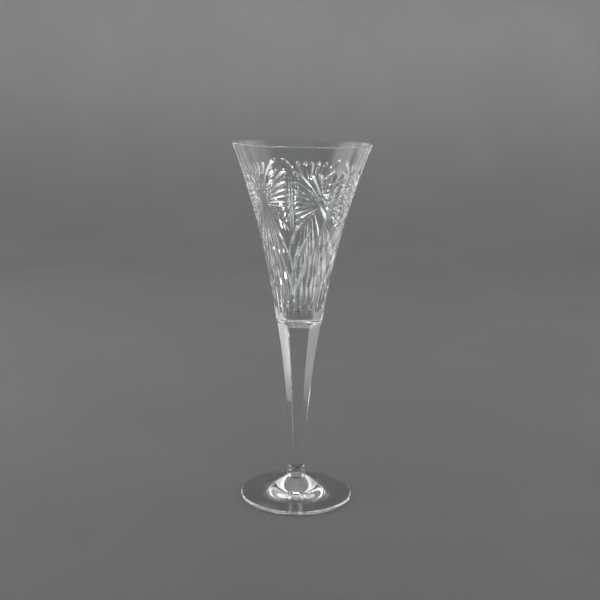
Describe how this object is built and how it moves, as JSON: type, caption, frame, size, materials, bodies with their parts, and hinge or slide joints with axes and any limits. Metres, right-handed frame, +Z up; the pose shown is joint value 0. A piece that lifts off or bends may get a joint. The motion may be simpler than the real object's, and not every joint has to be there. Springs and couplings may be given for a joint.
{
  "type": "champagne flute",
  "caption": "Tall trumpet-shaped cut-crystal champagne flute: open bowl with wheel-cut fans and sprays, a solid flat-cut stem, a small collar and a domed round foot.",
  "frame": {"origin": "on the glass's axis, at the level of the ring that the foot stands on", "axes": "+Z up along the axis, towards the rim; -Y is the front, and a flat of the stem faces it within a few degrees"},
  "size_m": [0.0888, 0.0888, 0.235],
  "materials": {
    "cut_crystal": "clear colourless crystal, polished inside, with polished wheel cuts outside",
    "plain_crystal": "clear colourless crystal, polished"
  },
  "bodies": {
    "root": {"bowl": "cut_crystal", "stem": "plain_crystal", "collar": "plain_crystal", "foot": "plain_crystal"}
  },
  "joints": []
}
